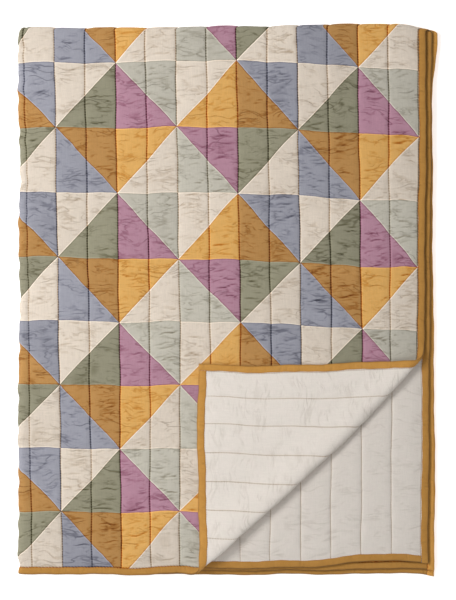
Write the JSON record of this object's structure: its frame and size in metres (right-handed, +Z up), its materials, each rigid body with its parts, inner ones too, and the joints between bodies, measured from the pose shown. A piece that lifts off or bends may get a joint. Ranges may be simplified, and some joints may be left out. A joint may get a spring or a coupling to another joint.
{
  "type": "bedspread",
  "caption": "Quilted patchwork bedspread, folded up and lying flat, with a corner turned back to show its plain back and bound edge.",
  "frame": {"origin": "middle of the folded bundle's plan, on the surface that it lies on", "axes": "+Z up out of the surface, +Y along the bundle's length towards the fold on its far edge, +X towards the open edge on its right"},
  "size_m": [0.8299, 1.0948, 0.0456],
  "materials": {
    "patchwork": "matt slubby cotton in several plain colours, hand quilted",
    "backing": "matt plain cotton, hand quilted",
    "binding": "matt plain cotton, folded and stitched down"
  },
  "bodies": {
    "root": {"patchwork_front": "patchwork", "backing": "backing", "binding_side_right": "binding", "binding_side_left": "binding", "binding_end_bottom": "binding", "binding_end_top": "binding"}
  },
  "joints": []
}
